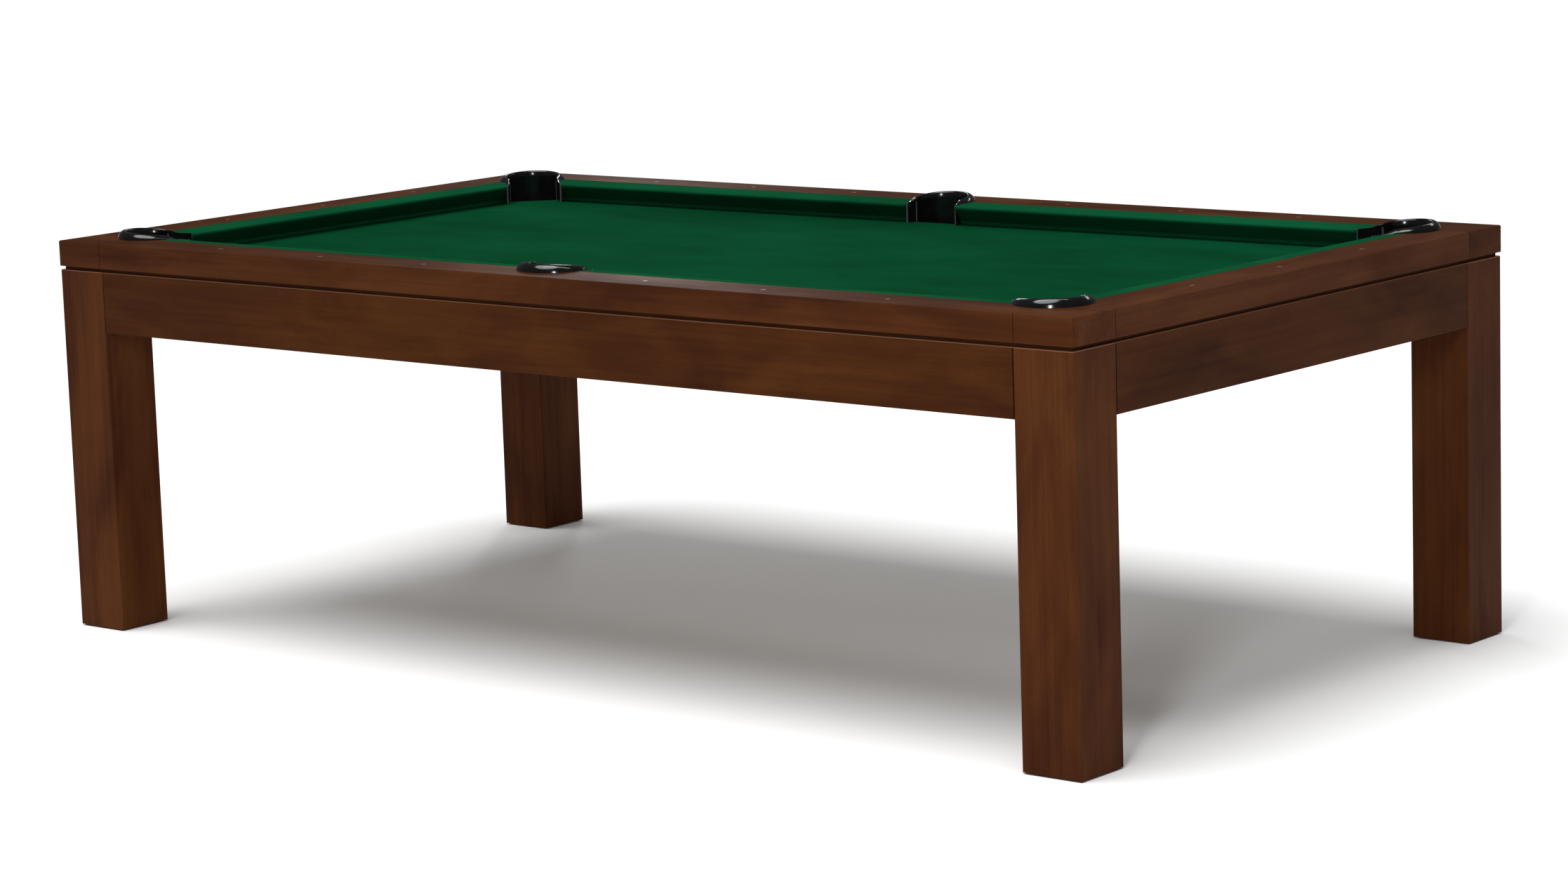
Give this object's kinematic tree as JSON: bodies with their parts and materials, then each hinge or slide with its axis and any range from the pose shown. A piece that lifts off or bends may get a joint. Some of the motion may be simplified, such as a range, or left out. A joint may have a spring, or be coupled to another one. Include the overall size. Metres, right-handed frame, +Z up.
{
  "type": "pool table",
  "caption": "Slate pool table with square post legs, framed apron, flat wooden rails, cloth-covered cushions and drop pockets at corners and sides.",
  "frame": {"origin": "on the floor under the middle of the table", "axes": "+X along the table's length to the right, +Y across it to the rear, +Z up; the front is -Y"},
  "size_m": [2.535, 1.418, 0.818],
  "materials": {
    "frame_wood": "dark brown stained wood, satin lacquer",
    "rail_wood": "dark brown stained wood, satin lacquer",
    "reveal_wood": "near-black painted wood",
    "structural_wood": "plain sawn softwood",
    "slate": "honed grey slate",
    "bed_cloth": "dark green worsted cloth",
    "rail_cloth": "dark green worsted cloth",
    "cushion_rubber": "plain gum rubber",
    "sight_inlay": "muted tan round inlay",
    "pocket_moulding": "glossy black",
    "pocket_bucket": "matt black",
    "bracket_steel": "zinc plated",
    "fastener_steel": "zinc plated",
    "foot_steel": "zinc plated",
    "insert_steel": "zinc plated"
  },
  "bodies": {
    "table": {"leg_front_left": "frame_wood", "leg_front_right": "frame_wood", "leg_rear_left": "frame_wood", "leg_rear_right": "frame_wood", "side_front_apron": "frame_wood", "side_rear_apron": "frame_wood", "end_left_apron": "frame_wood", "end_right_apron": "frame_wood", "corner_brackets": "bracket_steel", "lag_bolts": "fastener_steel", "slate_screws": "fastener_steel", "rail_bolts": "fastener_steel", "reveal_strips": "reveal_wood", "slate_ledgers": "structural_wood", "slate_beams": "structural_wood", "slate_left": "slate", "slate_centre": "slate", "slate_right": "slate", "bed_cloth": "bed_cloth", "rail_front_left": "rail_wood", "cushion_front_left": "cushion_rubber", "rail_cloth_front_left": "rail_cloth", "rail_front_right": "rail_wood", "cushion_front_right": "cushion_rubber", "rail_cloth_front_right": "rail_cloth", "rail_rear_left": "rail_wood", "cushion_rear_left": "cushion_rubber", "rail_cloth_rear_left": "rail_cloth", "rail_rear_right": "rail_wood", "cushion_rear_right": "cushion_rubber", "rail_cloth_rear_right": "rail_cloth", "rail_left": "rail_wood", "cushion_left": "cushion_rubber", "rail_cloth_left": "rail_cloth", "rail_right": "rail_wood", "cushion_right": "cushion_rubber", "rail_cloth_right": "rail_cloth", "feather_strips": "rail_cloth", "sights": "sight_inlay", "corner_block_front_left": "rail_wood", "corner_block_front_right": "rail_wood", "corner_block_rear_left": "rail_wood", "corner_block_rear_right": "rail_wood", "pocket_collar_front_left": "pocket_moulding", "pocket_bucket_front_left": "pocket_bucket", "pocket_collar_front_right": "pocket_moulding", "pocket_bucket_front_right": "pocket_bucket", "pocket_collar_rear_left": "pocket_moulding", "pocket_bucket_rear_left": "pocket_bucket", "pocket_collar_rear_right": "pocket_moulding", "pocket_bucket_rear_right": "pocket_bucket", "pocket_collar_front": "pocket_moulding", "pocket_bucket_front": "pocket_bucket", "pocket_collar_rear": "pocket_moulding", "pocket_bucket_rear": "pocket_bucket", "leveler_inserts": "insert_steel"},
    "foot_front_left": {"leveler_front_left": "foot_steel"},
    "foot_front_right": {"leveler_front_right": "foot_steel"},
    "foot_rear_left": {"leveler_rear_left": "foot_steel"},
    "foot_rear_right": {"leveler_rear_right": "foot_steel"}
  },
  "joints": [
    {"name": "foot_slide_front_left", "type": "slide", "parent": "table", "child": "foot_front_left", "axis": [0, 0, -1], "range_m": [0, 0.02]},
    {"name": "foot_slide_front_right", "type": "slide", "parent": "table", "child": "foot_front_right", "axis": [0, 0, -1], "range_m": [0, 0.02]},
    {"name": "foot_slide_rear_left", "type": "slide", "parent": "table", "child": "foot_rear_left", "axis": [0, 0, -1], "range_m": [0, 0.02]},
    {"name": "foot_slide_rear_right", "type": "slide", "parent": "table", "child": "foot_rear_right", "axis": [0, 0, -1], "range_m": [0, 0.02]}
  ]
}
